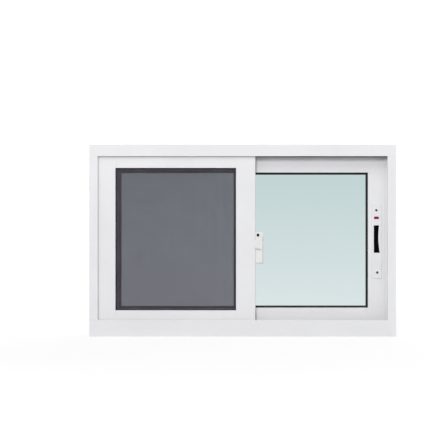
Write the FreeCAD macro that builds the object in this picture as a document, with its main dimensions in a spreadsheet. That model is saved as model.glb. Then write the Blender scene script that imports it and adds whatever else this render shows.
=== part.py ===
import FreeCAD, Part
import os
import re
import Sketcher

# Horizontal sliding window of white coated aluminium, 80 by 50 cm.
# X runs along the sill, Y from the room side (negative) to the outside, Z up.
# The origin is the middle of the sill's underside.
# Three tracks lie one behind the other: the insect screen in front, the right
# sash in the middle and the left sash at the back.

SIZES = (
    ("window_width", 800, "outer width of the frame"),
    ("window_height", 500, "outer height of the frame"),
    ("frame_wall", 2, "wall of the frame sections"),
    ("head_lip", 30, "face height of the head"),
    ("jamb_lip", 22.5, "face width of a jamb"),
    ("sill_lip", 43, "face height of the sill towards the room"),
    ("rear_lip", 25, "face height of the sill towards the outside"),
    ("head_fin", 30.5, "drop of the two fins between the tracks of the head"),
    ("jamb_fin", 23.5, "reach of the two fins between the tracks of a jamb"),
    ("fin_thick", 2, "thickness of these fins"),
    ("edge_round", 0.8, "rounding of the frame's outer edges"),
    ("section_round", 2.2, "rounding of the panel sections' outer edges"),
    ("inner_round", 0.5, "rounding of the panel sections' edges towards the glass or mesh"),
    ("running_gap", 5, "room between a panel and the walls of its track"),
    ("screen_thick", 16, "depth of the insect screen's sections"),
    ("sash_thick", 23, "depth of the sash sections"),
    ("rail_thick", 3, "thickness of a running rail"),
    ("rail_crest", 24, "height of a running rail above the base"),
    ("crest_round", 1.35, "rounding of a running rail's crest"),
    ("panel_lift", 18, "underside of the panels above the base"),
    ("head_room", 15, "top of the panels below the top of the frame"),
    ("jamb_room", 12.5, "edge of a shut panel from the inside of the jamb"),
    ("section_wall", 1.6, "wall of the panel sections"),
    ("lock_stile", 55.2, "width of the stile that carries the lock"),
    ("meeting_stile", 38, "width of the stiles that overlap in the middle"),
    ("right_top_rail", 55.3, "height of the right sash's top rail"),
    ("right_bottom_rail", 55.2, "height of the right sash's bottom rail"),
    ("left_top_rail", 49, "height of the left sash's top rail"),
    ("left_bottom_rail", 52, "height of the left sash's bottom rail"),
    ("glass_thick", 5, "thickness of the glass"),
    ("glass_bite", 9, "how far the glass stands in its groove"),
    ("gasket_thick", 4, "thickness of a glazing gasket"),
    ("gasket_bite", 8, "how far a gasket stands in the groove"),
    ("gasket_show", 5.2, "width of a gasket that shows beside the section"),
    ("gasket_bevel", 3, "slope of a gasket down to the glass"),
    ("glazing_deep", 12, "depth of the glazing groove"),
    ("interlock_thick", 1.5, "thickness of the fin on a meeting stile"),
    ("interlock_reach", 5, "how far that fin stands out"),
    ("interlock_side", 8, "distance of that fin from the window's middle"),
    ("interlock_end", 32, "distance of that fin from each end of its stile"),
    ("screen_width", 419, "width of the insect screen"),
    ("screen_stile", 53, "width of the screen's stile beside the jamb"),
    ("pull_stile", 51, "width of the screen's stile that carries the pull"),
    ("screen_top_rail", 45, "height of the screen's top rail"),
    ("screen_bottom_rail", 50, "height of the screen's bottom rail"),
    ("mesh_thick", 1, "thickness of the insect mesh"),
    ("mesh_bite", 7, "how far the mesh stands in its groove"),
    ("spline_thick", 2.5, "thickness of the cord that holds the mesh"),
    ("spline_bite", 6, "how far that cord stands in the groove"),
    ("spline_show", 1.4, "width of that cord that shows beside the section"),
    ("spline_bevel", 0.7, "slope of that cord down to the mesh"),
    ("screen_deep", 8, "depth of the screen's groove"),
    ("wheel_slot", 11, "width of the slot for the wheels"),
    ("slot_room", 2, "room above a wheel in its slot"),
    ("notch_room", 6, "room above the rail in the ends of the stiles"),
    ("wheel_rim", 11, "radius of a wheel's rims"),
    ("wheel_tread", 9, "radius at the bottom of a wheel's groove"),
    ("wheel_wide", 9, "width of a wheel"),
    ("tread_wide", 4, "width of a wheel's groove at its bottom"),
    ("tread_flare", 1, "widening of the groove on each side up to the rim"),
    ("wheel_lift", 0.3, "tread above the rail"),
    ("axle_radius", 2.5, "radius of a wheel's axle"),
    ("wheel_inset", 45, "wheel's middle from the inner edge of the stile"),
    ("guide_long", 30, "length of a guide block in the head"),
    ("guide_high", 8, "height of a guide block"),
    ("guide_gap", 0.5, "room between a guide block and the head's fins"),
    ("guide_inset", 25, "guide block from the end of the panel"),
    ("plate_wide", 28, "width of the lock's face plate"),
    ("plate_high", 193, "height of the lock's face plate"),
    ("plate_thick", 2, "thickness of the lock's face plate"),
    ("plate_round", 4, "corner radius of the lock's face plate"),
    ("plate_bevel", 0.7, "bevel round the front of the face plate"),
    ("plate_low", 151, "lower end of the face plate above the base"),
    ("plate_edge", 19, "face plate from the sash's outer edge"),
    ("pull_slot_wide", 13.6, "width of the finger recess"),
    ("pull_slot_high", 72, "height of the finger recess"),
    ("pull_slot_low", 67, "finger recess above the plate's lower end"),
    ("slot_bow", 2, "hollow of the recess's outer edge"),
    ("slot_flare", 1.7, "widening of the recess at its lower end"),
    ("flare_high", 12, "height of that widening"),
    ("cup_wall", 1, "wall of the recess's cup"),
    ("cup_deep", 12, "depth of the recess behind the sash's face"),
    ("cup_gap", 0.3, "room between the cup and its cut-out"),
    ("flag_wide", 11.6, "width of the lock's red indicator"),
    ("flag_high", 6, "height of the lock's red indicator"),
    ("flag_low", 156, "indicator above the plate's lower end"),
    ("flag_gap", 0.2, "room round the indicator"),
    ("flag_sink", 0.4, "indicator below the face of the plate"),
    ("keeper_wide", 18, "width of a keeper on a jamb"),
    ("keeper_high", 60, "height of a keeper"),
    ("keeper_thick", 2, "thickness of a keeper"),
    ("keeper_slot", 8, "width of the slot in a keeper"),
    ("buffer_wide", 12, "width of a rubber stop"),
    ("buffer_high", 28, "height of a rubber stop"),
    ("buffer_gap", 0.5, "rubber stop from a shut panel"),
    ("buffer_inset", 70, "rubber stop's middle from the panel's ends"),
    ("fixing_radius", 3, "radius of the fixing holes in the jambs"),
    ("fixing_spacing", 250, "spacing of the fixing holes"),
    ("handle_low", 190, "lower end of the screen's pull above the base"),
    ("handle_high", 82.5, "height of the screen's pull"),
    ("handle_reach", 20.5, "how far the pull stands beside the screen"),
    ("handle_thick", 12, "depth of the pull"),
    ("flange_thick", 1.5, "thickness of the flange that holds the pull"),
    ("flange_over", 3.5, "how far that flange reaches over the stile"),
    ("flange_hold", 9.4, "how far that flange reaches over the pull"),
    ("flange_low", 40, "flange above the pull's lower end"),
    ("flange_high", 21, "height of that flange"),
    ("handle_round", 3, "corner radius of the pull"),
    ("handle_bevel", 2.6, "bevel round the front of the pull"),
    ("channel_high", 34, "height of the finger channel beside the screen's stile"),
    ("channel_rim", 4, "rim between the channel and the pull's edges"),
    ("channel_deep", 4, "depth of the finger channel"),
    ("tab_reach", 19, "reach of the tab at the pull's top"),
    ("tab_high", 11.5, "height of that tab"),
    ("tab_back", 2.5, "tab behind the front of the pull"),
    ("button_side", 6.4, "button's middle from the tab's inner edge"),
    ("button_up", 3.6, "button's middle above the tab's lower edge"),
    ("tab_button", 3.1, "radius of the button on the tab"),
    ("button_deep", 3, "depth of the button's seat"),
)

doc = FreeCAD.newDocument("sliding_window")
sheet = doc.addObject("Spreadsheet::Sheet", "sizes")
for row, (alias, size, meaning) in enumerate(SIZES, start=1):
    sheet.set(f"A{row}", str(size))
    sheet.setAlias(f"A{row}", alias)
    sheet.set(f"B{row}", meaning)
doc.recompute()

nodes = {}


# Expressions: a place is written as a sum of the sheet's words.

def bound(text):
    """Give each word of the sheet in an expression the sheet's name."""
    return re.sub(r"[a-z_]+", lambda word: "sizes." + word.group(), text)


def number(text):
    """Work out an expression as a plain number."""
    value = sheet.evalExpression(bound(text))
    return float(getattr(value, "Value", value))


def bind(thing, **texts):
    """Tie properties of an object to expressions."""
    for name, text in texts.items():
        thing.setExpression(name, bound(text))


def place(thing, across, deep, up):
    """Tie an object's position to expressions."""
    for axis, text in zip("xyz", (across, deep, up)):
        thing.setExpression(f"Placement.Base.{axis}", bound(text))


# Places in the frame

TOP = "window_height"
SIDE = "(window_width / 2)"
WEB = f"({SIDE} - frame_wall)"
FRONT = "(-(2 * frame_wall + screen_thick + 2 * sash_thick + 6 * running_gap + 2 * fin_thick) / 2)"
REAR = f"(-{FRONT})"
SCREEN_FRONT = f"({FRONT} + frame_wall + running_gap)"
SCREEN_BACK = f"({SCREEN_FRONT} + screen_thick)"
FIN_A = f"({SCREEN_BACK} + running_gap)"
RIGHT_FRONT = f"({FIN_A} + fin_thick + running_gap)"
RIGHT_BACK = f"({RIGHT_FRONT} + sash_thick)"
FIN_B = f"({RIGHT_BACK} + running_gap)"
LEFT_FRONT = f"({FIN_B} + fin_thick + running_gap)"
LEFT_BACK = f"({LEFT_FRONT} + sash_thick)"
PANEL_TOP = "(window_height - head_room)"
PANEL_EDGE = f"({WEB} - jamb_room)"
AXLE_UP = "(rail_crest + wheel_lift + wheel_tread)"
SLOT_TOP = f"({AXLE_UP} + wheel_rim + slot_room)"


def middle(front, back):
    return f"(({front} + {back}) / 2)"


def mirrored(sign, text):
    """The same place on the right (sign 1) or the left (sign -1) of the window."""
    return f"({sign} * {text})"


# Sketches and features

def new_body(label):
    body = doc.addObject("PartDesign::Body", label)
    body.Label = label
    return body


def new_sketch(body, role, offset="0"):
    """A sketch on one of the body's own planes, moved along its normal."""
    sketch = body.newObject("Sketcher::SketchObject", body.Name + "_sketch")
    plane = next(item for item in body.Origin.OriginFeatures if item.Role == role)
    sketch.AttachmentSupport = [(plane, "")]
    sketch.MapMode = "FlatFace"
    sketch.setExpression("AttachmentOffset.Base.z", bound(offset))
    return sketch


def pin(sketch, part, point, across, up):
    """Hold a point of the sketch at its distances from the origin."""
    for kind, text in (("DistanceX", across), ("DistanceY", up)):
        rule = Sketcher.Constraint(kind, -1, 1, part, point, number(text))
        sketch.setExpression(f"Constraints[{sketch.addConstraint(rule)}]", bound(text))


def fix_radius(sketch, part, radius):
    rule = Sketcher.Constraint("Radius", part, number(radius))
    sketch.setExpression(f"Constraints[{sketch.addConstraint(rule)}]", bound(radius))


def vector(across, up):
    return FreeCAD.Vector(number(across), number(up), 0)


def shifted(corner, towards, radius):
    """The point a radius away from a corner, along the edge to its neighbour."""
    moved = []
    for here, there in zip(corner[:2], towards[:2]):
        step = number(there) - number(here)
        sign = 0 if abs(step) < 1e-9 else (1 if step > 0 else -1)
        moved.append(f"({here} + {sign} * {radius})")
    return tuple(moved)


def join_by_arc(sketch, first, way, last, radius, ends):
    """Draw an arc over three points and tie it to the ends of two lines and to a radius."""
    arc = sketch.addGeometry(Part.Arc(first, way, last))
    if (way - first).cross(last - way).z < 0:
        ends = ends[1], ends[0]
    for point, end in enumerate(ends, start=1):
        sketch.addConstraint(Sketcher.Constraint("Coincident", arc, point, *end))
    fix_radius(sketch, arc, radius)


def draw_outline(sketch, corners):
    """Close an outline; a corner with a third entry is rounded by that radius."""
    count = len(corners)
    arrive = []
    leave = []
    for index, corner in enumerate(corners):
        if len(corner) == 3:
            arrive.append(shifted(corner, corners[index - 1], corner[2]))
            leave.append(shifted(corner, corners[(index + 1) % count], corner[2]))
        else:
            arrive.append(corner)
            leave.append(corner)
    lines = []
    for index in range(count):
        ends = Part.LineSegment(vector(*leave[index]), vector(*arrive[(index + 1) % count]))
        lines.append(sketch.addGeometry(ends))
    for index, corner in enumerate(corners):
        before, after = lines[index - 1], lines[index]
        pin(sketch, after, 1, *leave[index])
        if len(corner) == 2:
            sketch.addConstraint(Sketcher.Constraint("Coincident", before, 2, after, 1))
            continue
        pin(sketch, before, 2, *arrive[index])
        start, end = vector(*arrive[index]), vector(*leave[index])
        point = vector(*corner[:2])
        radius = number(corner[2])
        centre = start + end - point
        middle_point = centre + (point - centre).normalize() * radius
        join_by_arc(sketch, start, middle_point, end, corner[2], ((before, 2), (after, 1)))


def draw_circle(sketch, across, up, radius):
    part = sketch.addGeometry(Part.Circle(vector(across, up), FreeCAD.Vector(0, 0, 1), number(radius)))
    pin(sketch, part, 3, across, up)
    fix_radius(sketch, part, radius)


def draw_finger_slot(sketch, sign, low_across, high_across, low_up, high_up):
    """An upright slot whose outer edge, on the side of the sign, is a hollow arc above a flared lower corner."""
    outer, inner = (high_across, low_across) if sign > 0 else (low_across, high_across)
    flared, flare_top = f"({outer} + {sign} * slot_flare)", f"({low_up} + flare_high)"
    corners = [(outer, high_up), (inner, high_up), (inner, low_up), (flared, low_up), (outer, flare_top)]
    lines = []
    for start, end in zip(corners, corners[1:]):
        lines.append(sketch.addGeometry(Part.LineSegment(vector(*start), vector(*end))))
    for line, start in zip(lines, corners):
        pin(sketch, line, 1, *start)
    for before, after in zip(lines, lines[1:]):
        sketch.addConstraint(Sketcher.Constraint("Coincident", before, 2, after, 1))
    pin(sketch, lines[-1], 2, *corners[-1])
    way = vector(f"({outer} - {sign} * slot_bow)", f"(({flare_top} + {high_up}) / 2)")
    height = f"({high_up} - {flare_top})"
    radius = f"(({height} * {height} / 4 + slot_bow * slot_bow) / (2 * slot_bow))"
    ends = (lines[-1], 2), (lines[0], 1)
    join_by_arc(sketch, vector(*corners[-1]), way, vector(*corners[0]), radius, ends)


def rectangle(low_across, high_across, low_up, high_up, *rounding):
    return [(low_across, low_up, *rounding), (high_across, low_up, *rounding),
            (high_across, high_up, *rounding), (low_across, high_up, *rounding)]


def pad(body, sketch, length):
    feature = body.newObject("PartDesign::Pad", body.Name + "_pad")
    feature.Profile = sketch
    bind(feature, Length=length)
    return feature


def pocket(body, sketch, length):
    """Cut backwards along the sketch's normal, and make sure that something was cut."""
    doc.recompute()
    before = body.Shape.Volume
    feature = body.newObject("PartDesign::Pocket", body.Name + "_pocket")
    feature.Profile = sketch
    bind(feature, Length=length)
    doc.recompute()
    if body.Shape.Volume >= before:
        raise RuntimeError(body.Label + ": a pocket cut nothing")
    return feature


def block(label, across, deep, up):
    """A box between pairs of expressions along X, Y and Z."""
    box = doc.addObject("Part::Box", label)
    box.Label = label
    bind(box, Length=f"{across[1]} - {across[0]}", Width=f"{deep[1]} - {deep[0]}",
         Height=f"{up[1]} - {up[0]}")
    place(box, across[0], deep[0], up[0])
    return box


def grouped(label, pieces):
    """Several like pieces of one body under one name."""
    group = doc.addObject("Part::Compound", label)
    group.Label = label
    group.Links = pieces
    return group


def keep(thing):
    nodes[thing.Label] = thing
    return thing


# The frame: head and sill between the two jambs

def frame_head():
    body = new_body("frame_head")
    lip, fin, web = f"({TOP} - head_lip)", f"({TOP} - frame_wall - head_fin)", f"({TOP} - frame_wall)"
    outline = [(FRONT, lip, "edge_round"), (FRONT, TOP), (REAR, TOP), (REAR, lip, "edge_round"),
               (f"({REAR} - frame_wall)", lip), (f"({REAR} - frame_wall)", web)]
    for front in (FIN_B, FIN_A):
        back = f"({front} + fin_thick)"
        outline += [(back, web), (back, fin), (front, fin), (front, web)]
    outline += [(f"({FRONT} + frame_wall)", web), (f"({FRONT} + frame_wall)", lip)]
    sketch = new_sketch(body, "YZ_Plane", f"-{WEB}")
    draw_outline(sketch, outline)
    pad(body, sketch, f"2 * {WEB}")
    return keep(body)


def frame_sill():
    body = new_body("frame_sill")
    outline = [(FRONT, "0"), (FRONT, "sill_lip", "edge_round"), (f"({FRONT} + frame_wall)", "sill_lip"),
               (f"({FRONT} + frame_wall)", "frame_wall")]
    tracks = ((SCREEN_FRONT, SCREEN_BACK), (RIGHT_FRONT, RIGHT_BACK), (LEFT_FRONT, LEFT_BACK))
    for front, back in tracks:
        near = f"({middle(front, back)} - rail_thick / 2)"
        far = f"({middle(front, back)} + rail_thick / 2)"
        outline += [(near, "frame_wall"), (near, "rail_crest", "crest_round"),
                    (far, "rail_crest", "crest_round"), (far, "frame_wall")]
    outline += [(f"({REAR} - frame_wall)", "frame_wall"), (f"({REAR} - frame_wall)", "rear_lip"),
                (REAR, "rear_lip", "edge_round"), (REAR, "0")]
    sketch = new_sketch(body, "YZ_Plane", f"-{WEB}")
    draw_outline(sketch, outline)
    pad(body, sketch, f"2 * {WEB}")
    return keep(body)


def frame_jamb(label, sign, fixing_deep):
    """A web over the full height, with lips and fins between the sill and the head."""
    body = new_body(label)
    outside, web = mirrored(sign, SIDE), mirrored(sign, WEB)
    lip = mirrored(sign, f"({SIDE} - jamb_lip)")
    fin = mirrored(sign, f"({WEB} - jamb_fin)")
    head_lip = f"({TOP} - head_lip)"
    sketch = new_sketch(body, "XY_Plane")
    draw_outline(sketch, rectangle(web, outside, FRONT, REAR))
    pad(body, sketch, TOP)
    for wall, low in (((FRONT, f"({FRONT} + frame_wall)"), "sill_lip"),
                      ((REAR, f"({REAR} - frame_wall)"), "rear_lip")):
        sketch = new_sketch(body, "XY_Plane", low)
        draw_outline(sketch, [(web, wall[0]), (lip, wall[0], "edge_round"), (lip, wall[1]), (web, wall[1])])
        pad(body, sketch, f"{head_lip} - {low}")
    for front in (FIN_A, FIN_B):
        sketch = new_sketch(body, "XY_Plane", "rear_lip")
        draw_outline(sketch, rectangle(web, fin, front, f"({front} + fin_thick)"))
        pad(body, sketch, f"{TOP} - frame_wall - head_fin - rear_lip")
    sketch = new_sketch(body, "YZ_Plane", outside if sign > 0 else web)
    for step in (-1, 1):
        draw_circle(sketch, fixing_deep, f"({TOP} / 2 + {step} * fixing_spacing / 2)", "fixing_radius")
    pocket(body, sketch, "frame_wall")
    return keep(body)


def jamb_buffers():
    """Rubber stops on the jambs, two for each panel."""
    stops = []
    for sign, front, back in ((1, RIGHT_FRONT, RIGHT_BACK), (-1, LEFT_FRONT, LEFT_BACK),
                              (-1, SCREEN_FRONT, SCREEN_BACK)):
        near = f"({PANEL_EDGE} + buffer_gap)"
        across = (near, WEB) if sign > 0 else (mirrored(sign, WEB), mirrored(sign, near))
        deep = (f"({middle(front, back)} - buffer_wide / 2)", f"({middle(front, back)} + buffer_wide / 2)")
        for up in ("(panel_lift + buffer_inset)", f"({PANEL_TOP} - buffer_inset)"):
            stops.append(block("stop", across, deep, (f"({up} - buffer_high / 2)",
                                                      f"({up} + buffer_high / 2)")))
    return keep(grouped("jamb_buffers", stops))


def lock_keepers():
    """A slotted plate on each jamb, level with the lock."""
    plates = []
    level = "(plate_low + plate_high / 2)"
    for sign, front, back in ((1, RIGHT_FRONT, RIGHT_BACK), (-1, LEFT_FRONT, LEFT_BACK)):
        body = new_body("keeper_right" if sign > 0 else "keeper_left")
        centre = middle(front, back)
        sketch = new_sketch(body, "YZ_Plane", f"({WEB} - keeper_thick)" if sign > 0 else f"-{WEB}")
        draw_outline(sketch, rectangle(f"({centre} - keeper_wide / 2)", f"({centre} + keeper_wide / 2)",
                                       f"({level} - keeper_high / 2)", f"({level} + keeper_high / 2)",
                                       "plate_round"))
        draw_outline(sketch, rectangle(f"({centre} - keeper_slot / 2)", f"({centre} + keeper_slot / 2)",
                                       f"({level} - keeper_high / 4)", f"({level} + keeper_high / 4)"))
        pad(body, sketch, "keeper_thick")
        plates.append(body)
    return keep(grouped("lock_keepers", plates))


# Panel sections: hollow bars with a groove along their inner edge

def groove_outline(sign, edge, inner, front, back, groove, deep, slot_top=None):
    """A section from its outer edge to its inner edge, as pairs of depth and width."""
    centre = middle(front, back)
    near, far = f"({centre} - {groove} / 2)", f"({centre} + {groove} / 2)"
    floor = f"({inner} + {sign} * {deep})"
    outline = [(front, edge, "section_round"), (front, inner, "inner_round"), (near, inner), (near, floor),
               (far, floor), (far, inner), (back, inner, "inner_round"), (back, edge, "section_round")]
    if slot_top:
        low, high = f"({centre} - wheel_slot / 2)", f"({centre} + wheel_slot / 2)"
        outline += [(high, edge), (high, slot_top), (low, slot_top), (low, edge)]
    return outline


def chamber_outline(sign, edge, inner, front, back, deep):
    """The hollow of a section between its outer wall and the floor of its groove."""
    outer = f"({edge} - {sign} * section_wall)"
    floor = f"({inner} + {sign} * ({deep} + section_wall))"
    return rectangle(f"({front} + section_wall)", f"({back} - section_wall)", floor, outer)


def stile(label, sign, edge, inner, front, back, groove, deep):
    """An upright section, notched at its foot to pass over the rail."""
    body = new_body(label)
    sketch = new_sketch(body, "XY_Plane", "panel_lift")
    for outline in (groove_outline(sign, edge, inner, front, back, groove, deep),
                    chamber_outline(sign, edge, inner, front, back, deep)):
        draw_outline(sketch, [(corner[1], corner[0], *corner[2:]) for corner in outline])
    pad(body, sketch, f"{PANEL_TOP} - panel_lift")
    centre = middle(front, back)
    notch = new_sketch(body, "YZ_Plane", edge if sign > 0 else inner)
    draw_outline(notch, rectangle(f"({centre} - wheel_slot / 2)", f"({centre} + wheel_slot / 2)",
                                  "panel_lift", "(rail_crest + notch_room)"))
    pocket(body, notch, f"{sign} * ({edge} - {inner})")
    return body


def rail(label, sign, edge, inner, front, back, groove, deep, ends, slot_top=None):
    """A level section between two stiles, with a slot for the wheels in the bottom one."""
    body = new_body(label)
    sketch = new_sketch(body, "YZ_Plane", ends[0])
    draw_outline(sketch, groove_outline(sign, edge, inner, front, back, groove, deep, slot_top))
    draw_outline(sketch, chamber_outline(sign, slot_top or edge, inner, front, back, deep))
    pad(body, sketch, f"{ends[1]} - {ends[0]}")
    return keep(body)


def spread(pair, margin):
    """A pair of places moved apart by a margin on each side."""
    return f"({pair[0]} - {margin})", f"({pair[1]} + {margin})"


def ring(label, across, up, show, bite, deep, face, bevel):
    """A flat frame along the edges of an opening, sloped towards the opening on one face."""
    body = new_body(label)
    sketch = new_sketch(body, "XZ_Plane", f"-{deep[1]}")
    inside = spread(across, f"(-{show})") + spread(up, f"(-{show})")
    draw_outline(sketch, rectangle(*spread(across, bite), *spread(up, bite)))
    draw_outline(sketch, rectangle(*inside))
    flat = pad(body, sketch, f"{deep[1]} - {deep[0]}")
    doc.recompute()
    left, right, low, high = (number(place) for place in inside)
    edges = []
    for index, edge in enumerate(flat.Shape.Edges, start=1):
        middle_point = edge.CenterOfMass
        on_face = edge.BoundBox.YLength < 1e-6 and abs(middle_point.y - number(face)) < 1e-6
        if on_face and left - 1e-6 < middle_point.x < right + 1e-6 and low - 1e-6 < middle_point.z < high + 1e-6:
            edges.append(f"Edge{index}")
    slope = body.newObject("PartDesign::Chamfer", label + "_slope")
    slope.Base = (flat, edges)
    bind(slope, Size=bevel)
    return body


def two_rings(label, across, up, show, bite, thick, filling, centre, bevel):
    """One frame in front of the pane and one behind it."""
    near, far = f"({centre} - {filling} / 2)", f"({centre} + {filling} / 2)"
    front, back = f"({near} - {thick})", f"({far} + {thick})"
    return keep(grouped(label, [
        ring(label + "_front", across, up, show, bite, (front, near), front, bevel),
        ring(label + "_back", across, up, show, bite, (far, back), back, bevel)]))


def pane(label, across, up, bite, thick, centre):
    return keep(block(label, (f"({across[0]} - {bite})", f"({across[1]} + {bite})"),
                      (f"({centre} - {thick} / 2)", f"({centre} + {thick} / 2)"),
                      (f"({up[0]} - {bite})", f"({up[1]} + {bite})")))


def wheel(name, across, centre):
    """A grooved wheel on its axle, turned about the Y axis."""
    body = new_body(name)
    sketch = new_sketch(body, "YZ_Plane")
    half, tread, slot = "(wheel_wide / 2)", "(tread_wide / 2)", "(wheel_slot / 2)"
    flare = "(tread_wide / 2 + tread_flare)"
    draw_outline(sketch, [(f"(-{slot})", "0"), (f"(-{slot})", "axle_radius"), (f"(-{half})", "axle_radius"),
                          (f"(-{half})", "wheel_rim"), (f"(-{flare})", "wheel_rim"),
                          (f"(-{tread})", "wheel_tread"), (tread, "wheel_tread"), (flare, "wheel_rim"),
                          (half, "wheel_rim"), (half, "axle_radius"), (slot, "axle_radius"), (slot, "0")])
    turned = body.newObject("PartDesign::Revolution", name + "_turned")
    turned.Profile = sketch
    turned.ReferenceAxis = (sketch, ["H_Axis"])
    turned.Angle = 360
    place(body, across, centre, AXLE_UP)
    return body


def rollers(label, spots, centre):
    return keep(grouped(label, [wheel(f"{label}_{index}", spot, centre)
                                for index, spot in enumerate(spots, start=1)]))


def guides(label, spots, track):
    """Blocks on top of a panel that run between the walls of its track."""
    deep = (f"({track[0]} + guide_gap)", f"({track[1]} - guide_gap)")
    up = (PANEL_TOP, f"({PANEL_TOP} + guide_high)")
    blocks = [block(f"{label}_{index}", (f"({spot} - guide_long / 2)", f"({spot} + guide_long / 2)"), deep, up)
              for index, spot in enumerate(spots, start=1)]
    return keep(grouped(label, blocks))


# The two glazed sashes and their locks

GLAZING = "(glass_thick + 2 * gasket_thick)"


def in_order(sign, first, second):
    """Two places from left to right, written for the right-hand side."""
    if sign > 0:
        return first, second
    return mirrored(sign, second), mirrored(sign, first)


def interlock(body, sign, face, towards):
    """A thin fin on the face of a meeting stile that turns to the other sash."""
    side = mirrored(-sign, "interlock_side")
    sketch = new_sketch(body, "XY_Plane", "(panel_lift + interlock_end)")
    draw_outline(sketch, rectangle(f"({side} - interlock_thick / 2)", f"({side} + interlock_thick / 2)",
                                   face, f"({face} + {towards} * interlock_reach)"))
    pad(body, sketch, f"{PANEL_TOP} - panel_lift - 2 * interlock_end")


def lock_places(sign):
    """Edges of the face plate, its finger recess, the recess's cup and the indicator."""
    plate = (f"({PANEL_EDGE} - plate_edge - plate_wide)", f"({PANEL_EDGE} - plate_edge)")
    centre = f"({PANEL_EDGE} - plate_edge - plate_wide / 2)"
    slot = (f"({centre} - pull_slot_wide / 2)", f"({centre} + pull_slot_wide / 2)")
    flag = (f"({centre} - flag_wide / 2)", f"({centre} + flag_wide / 2)")
    return {
        "plate": in_order(sign, *plate) + ("plate_low", "(plate_low + plate_high)"),
        "slot": in_order(sign, *slot) + ("(plate_low + pull_slot_low)",
                                         "(plate_low + pull_slot_low + pull_slot_high)"),
        "flag": in_order(sign, *flag) + ("(plate_low + flag_low)", "(plate_low + flag_low + flag_high)"),
        "cup": in_order(sign, f"({slot[0]} - cup_wall)", f"({slot[1]} + slot_flare + cup_wall)") + (
            "(plate_low + pull_slot_low - cup_wall)", "(plate_low + pull_slot_low + pull_slot_high + cup_wall)"),
    }


def grown(edges, margin):
    return (f"({edges[0]} - {margin})", f"({edges[1]} + {margin})",
            f"({edges[2]} - {margin})", f"({edges[3]} + {margin})")


def lock(side, sign, front, carrier):
    """Face plate with a finger recess, the cup behind it and the red indicator."""
    places = lock_places(sign)
    cut = new_sketch(carrier, "XZ_Plane", f"-{front}")
    draw_outline(cut, rectangle(*grown(places["cup"], "cup_gap")))
    pocket(carrier, cut, "(cup_deep + cup_wall + cup_gap)")

    plate = new_body(f"{side}_lock_plate")
    sketch = new_sketch(plate, "XZ_Plane", f"-{front}")
    draw_outline(sketch, rectangle(*places["plate"], "plate_round"))
    draw_finger_slot(sketch, sign, *places["slot"])
    draw_outline(sketch, rectangle(*grown(places["flag"], "flag_gap")))
    sheet_metal = pad(plate, sketch, "plate_thick")
    doc.recompute()
    face_deep = number(f"{front} - plate_thick")
    faces = [f"Face{index}" for index, face in enumerate(sheet_metal.Shape.Faces, start=1)
             if abs(face.BoundBox.YMax - face_deep) < 1e-6]
    bevel = plate.newObject("PartDesign::Chamfer", plate.Name + "_bevel")
    bevel.Base = (sheet_metal, faces)
    bind(bevel, Size="plate_bevel")
    keep(plate)

    cup = new_body(f"{side}_lock_cup")
    sketch = new_sketch(cup, "XZ_Plane", f"-({front} + cup_deep + cup_wall)")
    draw_outline(sketch, rectangle(*places["cup"]))
    pad(cup, sketch, "cup_deep + cup_wall")
    hollow = new_sketch(cup, "XZ_Plane", f"-{front}")
    draw_finger_slot(hollow, sign, *places["slot"])
    pocket(cup, hollow, "cup_deep")
    keep(cup)

    flag = places["flag"]
    keep(block(f"{side}_lock_indicator", flag[:2], (f"({front} - plate_thick + flag_sink)", front), flag[2:]))


def sash(side, sign, front, back, track):
    """A glazed sash: sign is 1 for the right one and -1 for the left one."""
    name = f"{side}_sash"
    centre = middle(front, back)
    edge = mirrored(sign, PANEL_EDGE)
    lock_inner = mirrored(sign, f"({PANEL_EDGE} - lock_stile)")
    meeting_edge = mirrored(sign, "(-meeting_stile / 2)")
    meeting_inner = mirrored(sign, "(meeting_stile / 2)")
    low, high = f"(panel_lift + {side}_bottom_rail)", f"({PANEL_TOP} - {side}_top_rail)"
    section = (front, back, GLAZING, "glazing_deep")

    lock_bar = stile(f"{name}_lock_stile", sign, edge, lock_inner, *section)
    lock(side, sign, front, lock_bar)
    keep(lock_bar)
    meeting_bar = stile(f"{name}_meeting_stile", -sign, meeting_edge, meeting_inner, *section)
    interlock(meeting_bar, sign, back if sign > 0 else front, sign)
    keep(meeting_bar)
    across = (meeting_inner, lock_inner) if sign > 0 else (lock_inner, meeting_inner)
    rail(f"{name}_top_rail", 1, PANEL_TOP, high, *section, across)
    rail(f"{name}_bottom_rail", -1, "panel_lift", low, *section, across, SLOT_TOP)

    pane(f"{name}_glass", across, (low, high), "glass_bite", "glass_thick", centre)
    two_rings(f"{name}_gaskets", across, (low, high), "gasket_show", "gasket_bite", "gasket_thick",
              "glass_thick", centre, "gasket_bevel")
    rollers(f"{name}_rollers", (f"({across[0]} + wheel_inset)", f"({across[1]} - wheel_inset)"), centre)
    ends = (meeting_edge, edge) if sign > 0 else (edge, meeting_edge)
    guides(f"{name}_guides", (f"({ends[0]} + guide_inset)", f"({ends[1]} - guide_inset)"), track)


# The insect screen and its pull

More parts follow.
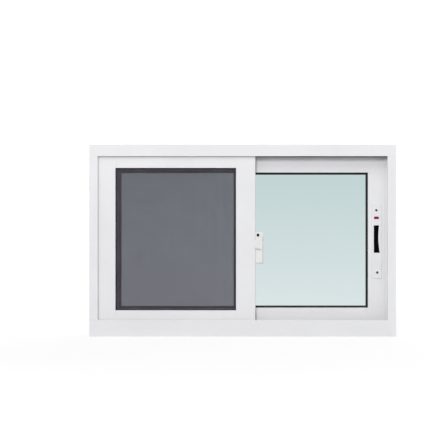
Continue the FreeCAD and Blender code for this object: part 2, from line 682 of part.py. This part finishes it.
def screen_pull(edge):
    """A finger pull on the edge of the screen: a bevelled grip with a channel, a flange and a tab with a button."""
    body = new_body("screen_pull")
    reach = f"({edge} + handle_reach)"
    low, high = "handle_low", "(handle_low + handle_high)"
    shoulder = f"({high} - tab_high)"
    back = f"({SCREEN_FRONT} + handle_thick)"
    sketch = new_sketch(body, "XZ_Plane", f"-{back}")
    draw_outline(sketch, [(edge, low), (reach, low, "handle_round"), (reach, shoulder, "handle_round"),
                          (edge, shoulder)])
    grip = pad(body, sketch, "handle_thick")
    doc.recompute()
    front_deep, inner = number(SCREEN_FRONT), number(edge)
    edges = [f"Edge{index}" for index, line in enumerate(grip.Shape.Edges, start=1)
             if abs(line.BoundBox.YMax - front_deep) < 1e-6 and line.CenterOfMass.x > inner + 1e-6]
    bevel = body.newObject("PartDesign::Chamfer", body.Name + "_bevel")
    bevel.Base = (grip, edges)
    bind(bevel, Size="handle_bevel")

    tab = new_sketch(body, "XZ_Plane", f"-{back}")
    draw_outline(tab, [(edge, shoulder), (f"({edge} + tab_reach)", shoulder),
                       (f"({edge} + tab_reach)", high, "handle_round"), (edge, high)])
    pad(body, tab, "handle_thick - tab_back")
    flange = new_sketch(body, "XZ_Plane", f"-{SCREEN_FRONT}")
    draw_outline(flange, rectangle(f"({edge} - flange_over)", f"({edge} + flange_hold)",
                                   f"({low} + flange_low)", f"({low} + flange_low + flange_high)"))
    pad(body, flange, "flange_thick")
    channel = new_sketch(body, "XZ_Plane", f"-{SCREEN_FRONT}")
    floor, top = f"({low} + channel_rim)", f"({low} + channel_rim + channel_high)"
    rim = f"({reach} - channel_rim)"
    draw_outline(channel, [(edge, floor), (rim, floor, "handle_round"), (rim, top, "handle_round"), (edge, top)])
    pocket(body, channel, "channel_deep")
    seat = new_sketch(body, "XZ_Plane", f"-({SCREEN_FRONT} + tab_back)")
    draw_circle(seat, f"({edge} + button_side)", f"({shoulder} + button_up)", "tab_button")
    pocket(body, seat, "button_deep")
    return keep(body)


def insect_screen():
    left = f"(-{PANEL_EDGE})"
    right = f"(-{PANEL_EDGE} + screen_width)"
    across = (f"({left} + screen_stile)", f"({right} - pull_stile)")
    low, high = "(panel_lift + screen_bottom_rail)", f"({PANEL_TOP} - screen_top_rail)"
    centre = middle(SCREEN_FRONT, SCREEN_BACK)
    section = (SCREEN_FRONT, SCREEN_BACK, "(mesh_thick + 2 * spline_thick)", "screen_deep")

    keep(stile("screen_left_stile", -1, left, across[0], *section))
    keep(stile("screen_right_stile", 1, right, across[1], *section))
    rail("screen_top_rail", 1, PANEL_TOP, high, *section, across)
    rail("screen_bottom_rail", -1, "panel_lift", low, *section, across, SLOT_TOP)
    pane("screen_mesh", across, (low, high), "mesh_bite", "mesh_thick", centre)
    two_rings("screen_spline", across, (low, high), "spline_show", "spline_bite", "spline_thick",
              "mesh_thick", centre, "spline_bevel")
    rollers("screen_rollers", (f"({across[0]} + wheel_inset)", f"({across[1]} - wheel_inset)"), centre)
    guides("screen_guides", (f"({left} + guide_inset)", f"({right} - guide_inset)"),
           (f"({FRONT} + frame_wall)", FIN_A))
    screen_pull(right)


frame_head()
frame_sill()
frame_jamb("left_jamb", -1, middle(RIGHT_FRONT, RIGHT_BACK))
frame_jamb("right_jamb", 1, middle(SCREEN_FRONT, SCREEN_BACK))
jamb_buffers()
lock_keepers()
sash("right", 1, RIGHT_FRONT, RIGHT_BACK, (f"({FIN_A} + fin_thick)", FIN_B))
sash("left", -1, LEFT_FRONT, LEFT_BACK, (f"({FIN_B} + fin_thick)", f"({REAR} - frame_wall)"))
insect_screen()

doc.recompute()
for thing in doc.Objects:
    if "Invalid" in thing.State or "Error" in thing.State:
        raise RuntimeError(f"{thing.Label} failed: {thing.State}")
for label, thing in nodes.items():
    if thing.Shape.isNull() or not thing.Shape.isValid():
        raise RuntimeError(label + " has no valid shape")

os.makedirs("parts", exist_ok=True)
for label, thing in nodes.items():
    thing.Shape.exportStep(f"parts/{label}.step")
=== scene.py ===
"""Looks of a horizontal sliding window: coated aluminium, tinted glass, rubber, insect mesh and locks."""

import math
import random

import bmesh
import bpy
from mathutils import Matrix, Vector


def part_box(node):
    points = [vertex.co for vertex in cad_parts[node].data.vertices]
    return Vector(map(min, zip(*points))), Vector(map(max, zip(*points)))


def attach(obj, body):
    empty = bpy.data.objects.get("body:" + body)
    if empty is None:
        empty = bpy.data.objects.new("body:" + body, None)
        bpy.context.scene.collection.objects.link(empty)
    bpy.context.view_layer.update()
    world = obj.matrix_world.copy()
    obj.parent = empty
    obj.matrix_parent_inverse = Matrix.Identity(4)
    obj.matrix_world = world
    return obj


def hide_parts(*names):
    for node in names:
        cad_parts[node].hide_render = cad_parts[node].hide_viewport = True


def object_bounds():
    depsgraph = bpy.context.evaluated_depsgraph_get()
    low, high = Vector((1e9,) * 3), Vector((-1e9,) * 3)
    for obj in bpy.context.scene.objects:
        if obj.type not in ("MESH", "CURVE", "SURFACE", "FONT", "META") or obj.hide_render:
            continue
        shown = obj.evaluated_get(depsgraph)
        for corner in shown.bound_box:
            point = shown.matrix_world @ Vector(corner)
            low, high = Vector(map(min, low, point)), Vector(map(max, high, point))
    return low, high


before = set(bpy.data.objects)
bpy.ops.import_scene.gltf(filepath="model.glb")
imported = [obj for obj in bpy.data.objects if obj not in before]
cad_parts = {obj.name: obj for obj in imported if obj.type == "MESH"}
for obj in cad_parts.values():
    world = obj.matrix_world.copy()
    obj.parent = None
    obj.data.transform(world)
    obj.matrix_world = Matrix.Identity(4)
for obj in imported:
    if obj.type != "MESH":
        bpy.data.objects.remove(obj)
cad_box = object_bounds()

MM = 0.001
NEAR = 0.01 * MM

# The photograph's frame and the place it was taken from
PICTURE_SIZE = 447
CAMERA_DISTANCE = 3.0
PICTURE_WIDTH_AT_WINDOW = 1.165
SENSOR = 36.0
WINDOW_CENTRE_PIXEL = (242.7, 240.65)

# The light of the surroundings, and how white they look to the camera
AMBIENT = 0.34
CAMERA_WHITE = 1.06

# The floor: half its width, its colour, how white it looks near the window, and where the shadow fades out
FLOOR_HALF = 30.0
FLOOR_COLOUR = (0.70, 0.70, 0.70, 1.0)
FLOOR_WHITE_NEAR = 0.85
SHADOW_REACH = (0.7, 1.8)

# Finishes: the grain's height, the part of the noise that makes patches, and dust on faces that look upwards
GRAIN_HIGH = 0.2 * MM
PATCH_SPREAD = (0.3, 0.7)
DUST_COLOUR = (0.42, 0.40, 0.37, 1.0)
DUST_PATCHES = 28.0
DUST_ROUGHENS = 0.4
DUST_LIES = (0.55, 0.98)

# The glass: its green tint at a low and at a high level, in metres above the sill's underside, with painted
# shade that darkens it towards the top
GLASS_IOR = 1.45
GLASS_LEVELS = (0.08, 0.43)
GLASS_LOW = (0.688, 0.768, 0.782, 1.0)
GLASS_HIGH = (0.517, 0.645, 0.645, 1.0)

# Screw heads: shares of their radius or height, then sizes
SCREW_SIDES = 24
SCREW_RIM = 0.45
SCREW_CROWN = 0.8
CROSS_ARM = 0.55
CROSS_SLIT = 0.16
CROSS_DEEP = 0.7
LOCK_SCREW_RADIUS = 3.2 * MM
LOCK_SCREW_HIGH = 0.9 * MM
KEEPER_SCREW_RADIUS = 2.6 * MM
KEEPER_SCREW_HIGH = 0.8 * MM

# Where screws sit: out from the middle of a lock's plate and in from its ends, or in from a keeper's ends
UPPER_SCREW_OUT = -0.4 * MM
UPPER_SCREW_IN = 14.1 * MM
LOWER_SCREW_OUT = 2.0 * MM
LOWER_SCREW_IN = 15.1 * MM
KEEPER_SCREW_IN = 7.5 * MM
KEEPER_THICK = 2.0 * MM

# The button on the screen's pull: its seat's place and its own sizes
FLANGE_OVER = 3.5 * MM
BUTTON_SIDE = 6.4 * MM
BUTTON_DOWN = 7.9 * MM
BUTTON_FACE = 4.0 * MM
BUTTON_RADIUS = 3.0 * MM
BUTTON_STEM = 2.4 * MM
BUTTON_CAP = 3.8 * MM
BUTTON_PROUD = 1.6 * MM
BUTTON_SIDES = 28
DOME_STEPS = 6

# Brush seals, in the 5 mm between a wall and a panel: their section, their ends and their level in the head
RUNNING_GAP = 5.0 * MM
BRUSH_TAPE = 5.0 * MM
TAPE_THICK = 0.8 * MM
BRUSH_ROOT = 3.4 * MM
BRUSH_TIP = 2.2 * MM
BRUSH_STANDS = 4.2 * MM
BRUSH_UNEVEN = 0.6 * MM
BRUSH_STEP = 2.0 * MM
BRUSH_END = 6.0 * MM
BRUSH_ABOVE = 5.2 * MM
FIN_BRUSH_ABOVE = 4.3 * MM

# Threads of the insect mesh
THREAD_PITCH = 1.25 * MM
THREAD_WIDE = 0.712 * MM
THREAD_THICK = 0.4 * MM


def add_node(tree, kind, settings=None, inputs=None):
    """A node of a tree, with its options set and its inputs given values or linked to sockets."""
    made = tree.nodes.new(kind)
    for name, value in (settings or {}).items():
        setattr(made, name, value)
    for name, value in (inputs or {}).items():
        if isinstance(value, bpy.types.NodeSocket):
            tree.links.new(value, made.inputs[name])
        else:
            made.inputs[name].default_value = value
    return made


def math_node(tree, operation, *values):
    """The result of one arithmetic node."""
    return add_node(tree, "ShaderNodeMath", {"operation": operation}, dict(enumerate(values))).outputs[0]


def mixed_colour(tree, share, first, second):
    """One colour that goes over into another by a share."""
    made = add_node(tree, "ShaderNodeMix", {"data_type": "RGBA"},
                    {"Factor": share, "A": first, "B": second})
    return made.outputs["Result"]


def in_range(tree, value, low, high):
    """A value from 0 to 1, spread from a low to a high number."""
    made = add_node(tree, "ShaderNodeMapRange", None,
                    {"Value": value, "To Min": low, "To Max": high})
    return made.outputs["Result"]


def noise(tree, place, scale, detail, roughness):
    """A cloudy value at a place."""
    made = add_node(tree, "ShaderNodeTexNoise", None,
                    {"Vector": place, "Scale": scale, "Detail": detail, "Roughness": roughness})
    return made.outputs[0]


def new_group(name, inputs, outputs):
    """An empty shader node group with named number inputs and outputs."""
    tree = bpy.data.node_groups.new(name, "ShaderNodeTree")
    for label, value in inputs.items():
        socket = tree.interface.new_socket(label, in_out="INPUT", socket_type="NodeSocketFloat")
        socket.default_value = value
    for label in outputs:
        tree.interface.new_socket(label, in_out="OUTPUT", socket_type="NodeSocketFloat")
    return tree, tree.nodes.new("NodeGroupInput"), tree.nodes.new("NodeGroupOutput")


def surface_grain_group():
    """Fine height of a coated, moulded or rubber surface, and wide patches that differ a little."""
    tree, given, result = new_group("surface_grain", {"Grain Size": 900.0, "Patch Size": 12.0},
                                    ["Height", "Patches"])
    place = add_node(tree, "ShaderNodeTexCoord").outputs["Object"]
    fine = noise(tree, place, given.outputs["Grain Size"], detail=2.0, roughness=0.45)
    wide = noise(tree, place, given.outputs["Patch Size"], detail=3.0, roughness=0.5)
    spread = add_node(tree, "ShaderNodeMapRange", None,
                      {"Value": wide, "From Min": PATCH_SPREAD[0], "From Max": PATCH_SPREAD[1]})
    tree.links.new(fine, result.inputs["Height"])
    tree.links.new(spread.outputs["Result"], result.inputs["Patches"])
    return tree


def settled_dust_group():
    """A mask of fine dust that lies on faces that look upwards, thicker in patches."""
    tree, given, result = new_group("settled_dust", {"Amount": 0.3, "Patch Size": 30.0}, ["Dust"])
    place = add_node(tree, "ShaderNodeTexCoord").outputs["Object"]
    normal = add_node(tree, "ShaderNodeNewGeometry").outputs["Normal"]
    upward = add_node(tree, "ShaderNodeSeparateXYZ", None, {"Vector": normal}).outputs["Z"]
    facing = add_node(tree, "ShaderNodeMapRange", {"interpolation_type": "SMOOTHSTEP"},
                      {"Value": upward, "From Min": DUST_LIES[0], "From Max": DUST_LIES[1]}).outputs["Result"]
    patches = noise(tree, place, given.outputs["Patch Size"], detail=6.0, roughness=0.5)
    lying = math_node(tree, "MULTIPLY", facing, patches)
    tree.links.new(math_node(tree, "MULTIPLY", lying, given.outputs["Amount"]), result.inputs["Dust"])
    return tree


GRAIN = surface_grain_group()
DUST = settled_dust_group()


def placed_group(tree, group, **inputs):
    """A group placed in a material with its own values."""
    named = {label.replace("_", " ").title(): value for label, value in inputs.items()}
    return add_node(tree, "ShaderNodeGroup", {"node_tree": group}, named)


def new_material(name):
    """A material with a bare Principled shader."""
    material = bpy.data.materials.new(name)
    material.use_nodes = True
    tree = material.node_tree
    return material, tree, tree.nodes["Principled BSDF"]


def grained(name, colour, patch_colour, roughness, grain_size, bump, patch_size, dust=0.0, **shader_values):
    """A solid finish: grain in its height, patches in colour and gloss, and dust on what faces upwards."""
    material, tree, shader = new_material(name)
    grain = placed_group(tree, GRAIN, grain_size=grain_size, patch_size=patch_size)
    surface = mixed_colour(tree, grain.outputs["Patches"], (*colour, 1.0), (*patch_colour, 1.0))
    gloss = in_range(tree, grain.outputs["Patches"], *roughness)
    if dust:
        lying = placed_group(tree, DUST, amount=dust, patch_size=DUST_PATCHES).outputs["Dust"]
        surface = mixed_colour(tree, lying, surface, DUST_COLOUR)
        gloss = math_node(tree, "ADD", gloss, math_node(tree, "MULTIPLY", lying, DUST_ROUGHENS))
    raised = add_node(tree, "ShaderNodeBump", None,
                      {"Strength": bump, "Distance": GRAIN_HIGH, "Height": grain.outputs["Height"]})
    tree.links.new(surface, shader.inputs["Base Color"])
    tree.links.new(gloss, shader.inputs["Roughness"])
    tree.links.new(raised.outputs["Normal"], shader.inputs["Normal"])
    for label, value in shader_values.items():
        shader.inputs[label.replace("_", " ")].default_value = value
    return material


def tinted_glass():
    """Float glass with a green tint, and painted shade that makes it a little darker towards its top."""
    material, tree, shader = new_material("green_glass")
    place = add_node(tree, "ShaderNodeTexCoord").outputs["Object"]
    height = add_node(tree, "ShaderNodeSeparateXYZ", None, {"Vector": place}).outputs["Z"]
    low, high = GLASS_LEVELS
    share = add_node(tree, "ShaderNodeMapRange", None, {"Value": height, "From Min": low, "From Max": high})
    # Painted shade: the green tint goes over into a darker one towards the top of the glass
    tint_and_painted_shade = mixed_colour(tree, share.outputs["Result"], GLASS_LOW, GLASS_HIGH)
    tree.links.new(tint_and_painted_shade, shader.inputs["Base Color"])
    shader.inputs["Roughness"].default_value = 0.0
    shader.inputs["IOR"].default_value = GLASS_IOR
    shader.inputs["Transmission Weight"].default_value = 1.0
    return material


SOLID_FINISHES = {
    "white_coating": {"colour": (0.80, 0.80, 0.815), "patch_colour": (0.775, 0.775, 0.79),
                      "roughness": (0.46, 0.54), "grain_size": 1400.0, "bump": 0.12, "patch_size": 9.0,
                      "dust": 0.10, "Specular_IOR_Level": 0.4},
    "black_gasket": {"colour": (0.006, 0.006, 0.007), "patch_colour": (0.011, 0.011, 0.012),
                     "roughness": (0.55, 0.68), "grain_size": 2200.0, "bump": 0.3, "patch_size": 40.0,
                     "dust": 0.15, "Specular_IOR_Level": 0.3},
    "insect_mesh": {"colour": (0.065, 0.036, 0.093), "patch_colour": (0.077, 0.044, 0.110),
                    "roughness": (0.5, 0.62), "grain_size": 3000.0, "bump": 0.1, "patch_size": 25.0,
                    "Transmission_Weight": 0.85, "Specular_IOR_Level": 0.3},
    "wheel_plastic": {"colour": (0.62, 0.61, 0.57), "patch_colour": (0.52, 0.51, 0.47),
                      "roughness": (0.4, 0.55), "grain_size": 1600.0, "bump": 0.15, "patch_size": 60.0},
    "guide_plastic": {"colour": (0.05, 0.05, 0.052), "patch_colour": (0.08, 0.08, 0.082),
                      "roughness": (0.45, 0.6), "grain_size": 1800.0, "bump": 0.2, "patch_size": 60.0},
    "lock_white": {"colour": (0.79, 0.79, 0.80), "patch_colour": (0.76, 0.76, 0.775),
                   "roughness": (0.28, 0.36), "grain_size": 1000.0, "bump": 0.06, "patch_size": 20.0},
    "recess_black": {"colour": (0.002, 0.002, 0.002), "patch_colour": (0.004, 0.004, 0.004),
                     "roughness": (0.6, 0.75), "grain_size": 1800.0, "bump": 0.25, "patch_size": 50.0,
                     "Specular_IOR_Level": 0.02},
    "indicator_red": {"colour": (0.28, 0.001, 0.026), "patch_colour": (0.235, 0.001, 0.021),
                      "roughness": (0.4, 0.52), "grain_size": 1600.0, "bump": 0.1, "patch_size": 80.0,
                      "Specular_IOR_Level": 0.04},
    "keeper_steel": {"colour": (0.55, 0.55, 0.56), "patch_colour": (0.46, 0.46, 0.47),
                     "roughness": (0.25, 0.42), "grain_size": 1500.0, "bump": 0.15, "patch_size": 50.0,
                     "Metallic": 1.0},
    "screw_steel": {"colour": (0.075, 0.075, 0.078), "patch_colour": (0.05, 0.05, 0.052),
                    "roughness": (0.3, 0.45), "grain_size": 2500.0, "bump": 0.1, "patch_size": 300.0,
                    "Metallic": 1.0},
    "brush_grey": {"colour": (0.030, 0.030, 0.032), "patch_colour": (0.060, 0.060, 0.062),
                   "roughness": (0.85, 0.95), "grain_size": 2600.0, "bump": 0.9, "patch_size": 300.0,
                   "Specular_IOR_Level": 0.1},
    "pull_white": {"colour": (0.78, 0.775, 0.785), "patch_colour": (0.74, 0.735, 0.745),
                   "roughness": (0.32, 0.42), "grain_size": 1200.0, "bump": 0.1, "patch_size": 30.0},
}
FINISHES = {name: grained(name, **looks) for name, looks in SOLID_FINISHES.items()}
FINISHES["green_glass"] = tinted_glass()


def dress_cad_nodes():
    """Each CAD node takes the finish of its slot in the record."""
    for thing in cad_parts.values():
        dressed = thing.material_slots[0]
        dressed.material = FINISHES[dressed.material.name]


def new_piece(name, mesh, finish, body):
    """A finished mesh as a piece with its finish, riding on a body."""
    data = bpy.data.meshes.new(name)
    mesh.to_mesh(data)
    mesh.free()
    piece = bpy.data.objects.new(name, data)
    bpy.context.scene.collection.objects.link(piece)
    data.materials.append(FINISHES[finish])
    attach(piece, body)
    return piece


def add_bar(mesh, low, high):
    """A straight bar between two corners."""
    low, high = Vector(low), Vector(high)
    size = high - low
    matrix = Matrix.Translation((low + high) / 2) @ Matrix.Diagonal((*size, 1.0))
    bmesh.ops.create_cube(mesh, size=1.0, matrix=matrix)


def insect_mesh():
    """Upright and level threads in two layers, from edge to edge of the mesh's node."""
    low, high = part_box("screen_mesh")
    middle = (low.y + high.y) / 2
    half = THREAD_WIDE / 2
    mesh = bmesh.new()
    count = int((high.x - low.x - THREAD_WIDE) / THREAD_PITCH)
    start = (low.x + high.x - count * THREAD_PITCH) / 2
    for index in range(count + 1):
        at = start + index * THREAD_PITCH
        add_bar(mesh, (at - half, middle - THREAD_THICK, low.z), (at + half, middle, high.z))
    count = int((high.z - low.z - THREAD_WIDE) / THREAD_PITCH)
    start = (low.z + high.z - count * THREAD_PITCH) / 2
    for index in range(count + 1):
        at = start + index * THREAD_PITCH
        add_bar(mesh, (low.x, middle, at - half), (high.x, middle + THREAD_THICK, at + half))
    piece = new_piece("insect_mesh_threads", mesh, "insect_mesh", "screen")
    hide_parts("screen_mesh")


def turned_profile(mesh, corners, steps):
    """A round shape about the Y axis from the corners of its half section, each a radius and a depth."""
    points = [mesh.verts.new((radius, deep, 0.0)) for radius, deep in corners]
    lines = [mesh.edges.new(pair) for pair in zip(points, points[1:])]
    bmesh.ops.spin(mesh, geom=points + lines, cent=(0.0, 0.0, 0.0), axis=(0.0, 1.0, 0.0),
                   angle=2.0 * math.pi, steps=steps, use_merge=True)
    bmesh.ops.remove_doubles(mesh, verts=mesh.verts, dist=NEAR / 10)
    bmesh.ops.recalc_face_normals(mesh, faces=mesh.faces)


def crown_faces(mesh, high):
    """The faces on the flat crown of a screw head."""
    return [face for face in mesh.faces if face.calc_center_median().y < NEAR - high]


def cross_screw(name, centre, outward, radius, high, body):
    """A low round screw head with a cross cut into it, looking outwards along a direction."""
    mesh = bmesh.new()
    rim, crown = high * SCREW_RIM, radius * SCREW_CROWN
    outline = [(0.0, 0.0), (radius, 0.0), (radius, -rim), (crown, -high), (0.0, -high)]
    turned_profile(mesh, outline, SCREW_SIDES)
    bmesh.ops.dissolve_faces(mesh, faces=crown_faces(mesh, high))
    arm, slit = radius * CROSS_ARM, radius * CROSS_SLIT
    for axis in ((1.0, 0.0, 0.0), (0.0, 0.0, 1.0)):
        for side in (-arm, -slit, slit, arm):
            faces = crown_faces(mesh, high)
            edges = {edge for face in faces for edge in face.edges}
            points = {point for face in faces for point in face.verts}
            bmesh.ops.bisect_plane(mesh, geom=faces + list(edges) + list(points), dist=NEAR / 100,
                                   plane_co=Vector(axis) * side, plane_no=axis)
    cut = []
    for face in crown_faces(mesh, high):
        at = face.calc_center_median()
        if max(abs(at.x), abs(at.z)) < arm and min(abs(at.x), abs(at.z)) < slit:
            cut.append(face)
    sunk = bmesh.ops.extrude_face_region(mesh, geom=cut)["geom"]
    bmesh.ops.delete(mesh, geom=cut, context="FACES")
    deep = [item for item in sunk if isinstance(item, bmesh.types.BMVert)]
    bmesh.ops.translate(mesh, verts=deep, vec=(0.0, high * CROSS_DEEP, 0.0))
    turn = Vector((0.0, -1.0, 0.0)).rotation_difference(Vector(outward)).to_matrix().to_4x4()
    bmesh.ops.transform(mesh, matrix=Matrix.Translation(centre) @ turn, verts=mesh.verts)
    bmesh.ops.recalc_face_normals(mesh, faces=mesh.faces)
    new_piece(name, mesh, "screw_steel", body)


def lock_screws():
    """Two screws on each lock's face plate, above the indicator and near the lower end."""
    for side in ("right", "left"):
        low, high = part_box(f"{side}_lock_plate")
        sign = 1.0 if side == "right" else -1.0
        middle = (low.x + high.x) / 2
        for place, across, up in (("upper", UPPER_SCREW_OUT, high.z - UPPER_SCREW_IN),
                                  ("lower", LOWER_SCREW_OUT, low.z + LOWER_SCREW_IN)):
            centre = (middle + sign * across, low.y, up)
            cross_screw(f"{side}_lock_{place}_screw", centre, (0.0, -1.0, 0.0),
                        LOCK_SCREW_RADIUS, LOCK_SCREW_HIGH, f"{side}_sash")


def keeper_screws():
    """A screw at each end of the two keepers on the jambs."""
    low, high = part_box("lock_keepers")
    for side, carrier, outward, face in (("right", "right_sash_lock_stile", -1.0, high.x),
                                         ("left", "left_sash_lock_stile", 1.0, low.x)):
        stile_low, stile_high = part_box(carrier)
        deep = (stile_low.y + stile_high.y) / 2
        for place, up in (("lower", low.z + KEEPER_SCREW_IN), ("upper", high.z - KEEPER_SCREW_IN)):
            centre = (face + outward * KEEPER_THICK, deep, up)
            cross_screw(f"{side}_keeper_{place}_screw", centre, (outward, 0.0, 0.0),
                        KEEPER_SCREW_RADIUS, KEEPER_SCREW_HIGH, "frame")


def pull_button():
    """The black domed button in the seat on the tab of the screen's pull."""
    low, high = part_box("screen_pull")
    flange_edge = low.x + FLANGE_OVER
    mesh = bmesh.new()
    outline = [(0.0, BUTTON_STEM), (BUTTON_RADIUS, BUTTON_STEM), (BUTTON_RADIUS, 0.0)]
    for index in range(DOME_STEPS + 1):
        angle = math.pi / 2 * index / DOME_STEPS
        outline.append((BUTTON_CAP * math.cos(angle), -BUTTON_PROUD * math.sin(angle)))
    turned_profile(mesh, outline, BUTTON_SIDES)
    centre = (flange_edge + BUTTON_SIDE, low.y + BUTTON_FACE, high.z - BUTTON_DOWN)
    bmesh.ops.translate(mesh, verts=mesh.verts, vec=centre)
    piece = new_piece("pull_button", mesh, "recess_black", "screen")
    for face in piece.data.polygons:
        face.use_smooth = True


def brush_strip(name, length, outward):
    """A brush seal along X: a flat tape, and a tapering brush with an uneven edge that stands out in Y."""
    mesh = bmesh.new()
    tape, root, tip = BRUSH_TAPE / 2, BRUSH_ROOT / 2, BRUSH_TIP / 2
    section = [(-tape, 0.0), (tape, 0.0), (tape, TAPE_THICK), (root, TAPE_THICK), (tip, BRUSH_STANDS),
               (-tip, BRUSH_STANDS), (-root, TAPE_THICK), (-tape, TAPE_THICK)]
    points = [mesh.verts.new((0.0, outward * deep, wide)) for wide, deep in section]
    end = mesh.faces.new(points)
    grown = bmesh.ops.extrude_face_region(mesh, geom=[end])["geom"]
    moved = [item for item in grown if isinstance(item, bmesh.types.BMVert)]
    bmesh.ops.translate(mesh, verts=moved, vec=(length, 0.0, 0.0))
    lengthwise = [edge for edge in mesh.edges if abs(edge.verts[0].co.x - edge.verts[1].co.x) > length / 2]
    bmesh.ops.subdivide_edges(mesh, edges=lengthwise, cuts=int(length / BRUSH_STEP))
    uneven = random.Random(name)
    for point in mesh.verts:
        if abs(point.co.y) > BRUSH_STANDS - NEAR:
            point.co.y -= outward * uneven.uniform(0.0, BRUSH_UNEVEN)
    bmesh.ops.recalc_face_normals(mesh, faces=mesh.faces)
    return mesh


def brush_seals():
    """Brush strips in the head, on each wall that a panel passes."""
    screen_low, screen_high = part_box("screen_left_stile")
    right_low, right_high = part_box("right_sash_lock_stile")
    left_low, left_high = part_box("left_sash_lock_stile")
    head_low, head_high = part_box("frame_head")
    walls = [("lip_inside", screen_low.y - RUNNING_GAP, 1.0, BRUSH_ABOVE),
             ("screen_fin_front", screen_high.y + RUNNING_GAP, -1.0, FIN_BRUSH_ABOVE),
             ("screen_fin_back", right_low.y - RUNNING_GAP, 1.0, BRUSH_ABOVE),
             ("sash_fin_front", right_high.y + RUNNING_GAP, -1.0, BRUSH_ABOVE),
             ("sash_fin_back", left_low.y - RUNNING_GAP, 1.0, BRUSH_ABOVE),
             ("rear_lip_inside", left_high.y + RUNNING_GAP, -1.0, BRUSH_ABOVE)]
    across = head_high.x - BRUSH_END
    for label, wall, outward, above in walls:
        mesh = brush_strip(f"head_{label}", 2.0 * across, outward)
        bmesh.ops.translate(mesh, verts=mesh.verts, vec=(-across, wall, head_low.z + above))
        new_piece(f"head_brush_{label}", mesh, "brush_grey", "frame")


def seen_share(tree, from_camera):
    """One for rays of reflections and through glass, a share for camera rays, nought for other rays."""
    path = add_node(tree, "ShaderNodeLightPath").outputs
    reflected = math_node(tree, "MAXIMUM", path["Is Glossy Ray"], path["Is Transmission Ray"])
    direct = math_node(tree, "MULTIPLY", path["Is Camera Ray"], from_camera)
    return math_node(tree, "MAXIMUM", direct, reflected)


def seen_white(tree):
    """The strength of white: one, and a little more for camera rays, so that the picture's edges stay so."""
    from_camera = add_node(tree, "ShaderNodeLightPath").outputs["Is Camera Ray"]
    return in_range(tree, from_camera, 1.0, CAMERA_WHITE)


def white_surroundings():
    """A world that is white to look at and lights the window softly."""
    world = bpy.data.worlds.new("studio")
    bpy.context.scene.world = world
    world.use_nodes = True
    tree = world.node_tree
    light = tree.nodes["Background"]
    light.inputs["Color"].default_value = (1.0, 1.0, 1.0, 1.0)
    strength = in_range(tree, seen_share(tree, 1.0), AMBIENT, seen_white(tree))
    tree.links.new(strength, light.inputs["Strength"])


def pale_floor():
    """A wide pale floor that looks white from afar and keeps the shadow near the window."""
    mesh = bmesh.new()
    bmesh.ops.create_grid(mesh, x_segments=1, y_segments=1, size=FLOOR_HALF)
    data = bpy.data.meshes.new("floor")
    mesh.to_mesh(data)
    mesh.free()
    floor = bpy.data.objects.new("floor", data)
    bpy.context.scene.collection.objects.link(floor)
    material, tree, shader = new_material("pale_floor")
    shader.inputs["Base Color"].default_value = FLOOR_COLOUR
    shader.inputs["Roughness"].default_value = 1.0
    shader.inputs["Specular IOR Level"].default_value = 0.0
    place = add_node(tree, "ShaderNodeTexCoord").outputs["Object"]
    far = add_node(tree, "ShaderNodeVectorMath", {"operation": "LENGTH"}, {0: place}).outputs["Value"]
    whitened = add_node(tree, "ShaderNodeMapRange", {"interpolation_type": "SMOOTHSTEP"},
                        {"Value": far, "From Min": SHADOW_REACH[0], "From Max": SHADOW_REACH[1],
                         "To Min": FLOOR_WHITE_NEAR, "To Max": 1.0}).outputs["Result"]
    glow = add_node(tree, "ShaderNodeEmission", None, {"Strength": seen_white(tree)})
    look = add_node(tree, "ShaderNodeMixShader", None,
                    {0: seen_share(tree, whitened), 1: shader.outputs["BSDF"], 2: glow.outputs["Emission"]})
    tree.links.new(look.outputs["Shader"], tree.nodes["Material Output"].inputs["Surface"])
    data.materials.append(material)


def soft_light(name, place, target, size, power):
    """A wide lamp turned towards a point."""
    lamp = bpy.data.lights.new(name, "AREA")
    lamp.shape = "RECTANGLE"
    lamp.size, lamp.size_y = size
    lamp.energy = power
    thing = bpy.data.objects.new(name, lamp)
    thing.location = place
    thing.rotation_euler = (Vector(target) - Vector(place)).to_track_quat("-Z", "Y").to_euler()
    bpy.context.scene.collection.objects.link(thing)


def photo_camera():
    """A camera square on to the window, with the window where the photograph has it."""
    data = bpy.data.cameras.new("photo")
    data.sensor_width = SENSOR
    data.lens = SENSOR * CAMERA_DISTANCE / PICTURE_WIDTH_AT_WINDOW
    data.shift_x = (PICTURE_SIZE / 2 - WINDOW_CENTRE_PIXEL[0]) / PICTURE_SIZE
    data.shift_y = (WINDOW_CENTRE_PIXEL[1] - PICTURE_SIZE / 2) / PICTURE_SIZE
    camera = bpy.data.objects.new("photo_camera", data)
    low, high = cad_box
    camera.location = ((low[0] + high[0]) / 2, low[1] - CAMERA_DISTANCE, (low[2] + high[2]) / 2)
    camera.rotation_euler = (math.radians(90.0), 0.0, 0.0)
    bpy.context.scene.collection.objects.link(camera)
    bpy.context.scene.camera = camera


dress_cad_nodes()
insect_mesh()
lock_screws()
keeper_screws()
pull_button()
brush_seals()
white_surroundings()
pale_floor()
soft_light("overhead_softbox", place=(-1.35, -11.5, 12.4), target=(0.0, 0.0, 0.0), size=(2.4, 7.6),
           power=690.0)
soft_light("front_softbox", place=(-1.05, -8.4, 2.75), target=(0.6, 0.0, -0.4), size=(2.1, 1.8), power=305.0)
soft_light("back_softbox", place=(1.2, 4.6, 3.4), target=(0.0, 0.0, 0.25), size=(3.0, 2.4), power=180.0)
photo_camera()
bpy.context.scene.view_settings.view_transform = "Standard"
